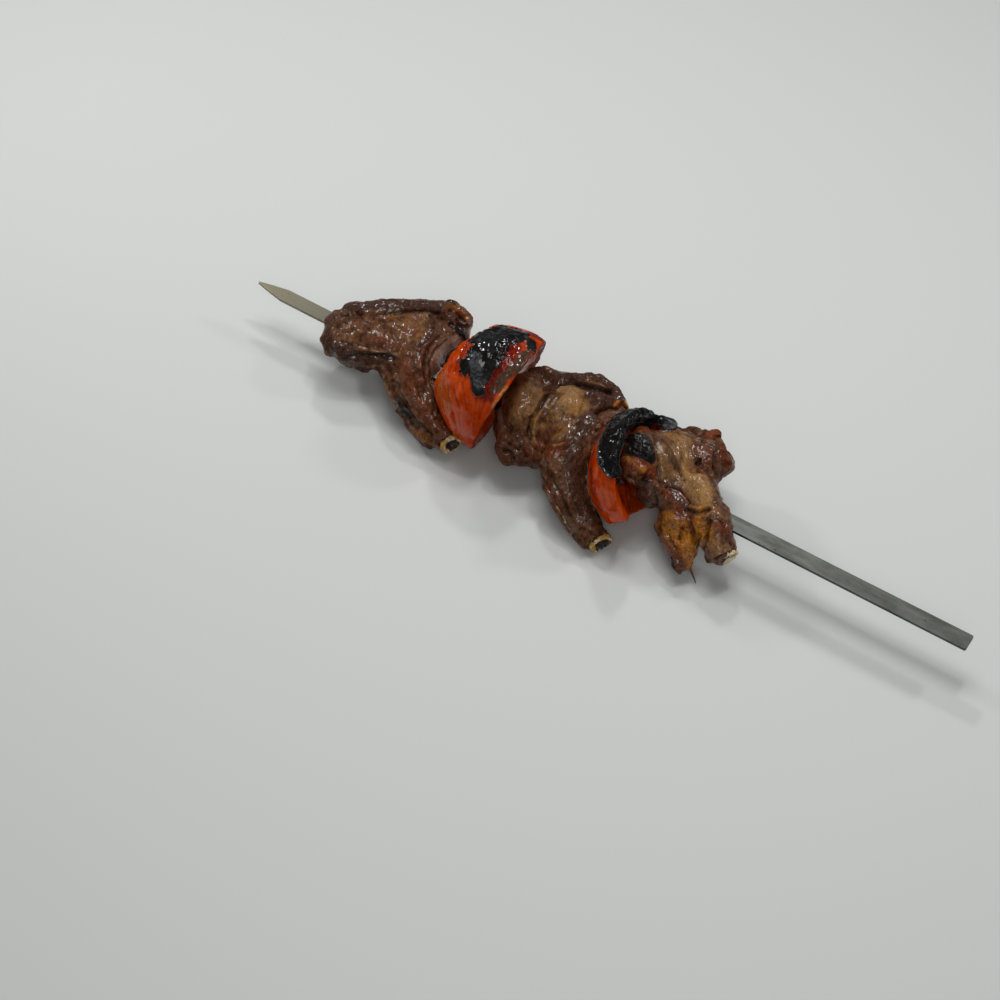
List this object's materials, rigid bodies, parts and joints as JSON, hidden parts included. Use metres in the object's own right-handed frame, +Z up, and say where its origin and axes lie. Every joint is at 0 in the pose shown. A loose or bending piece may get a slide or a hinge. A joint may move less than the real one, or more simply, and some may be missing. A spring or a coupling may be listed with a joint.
{
  "type": "shashlik",
  "caption": "Grilled lamb rib chops and tomato halves on a flat steel skewer with a long bare end; each chop keeps its rib bone.",
  "frame": {"origin": "on the resting surface, under the middle of the whole shashlik", "axes": "+X runs along the skewer from its point to its bare end, +Y runs from the rib ends to the backs of the chops, +Z is up"},
  "size_m": [0.4, 0.0794, 0.0626],
  "materials": {
    "steel": "dull, used flat steel",
    "meat": "grilled lamb, browned and charred, slightly oily",
    "bone": "cream rib bone with dark marrow at the cut end",
    "tomato": "grilled tomato skin, glossy, with charred patches"
  },
  "bodies": {
    "root": {"skewer": "steel", "chop_1_meat": "meat", "chop_2_meat": "meat", "chop_3_meat": "meat", "chop_1_bone": "bone", "chop_2_bone": "bone", "chop_3_bone": "bone", "tomato_1": "tomato", "tomato_2": "tomato"}
  },
  "joints": []
}
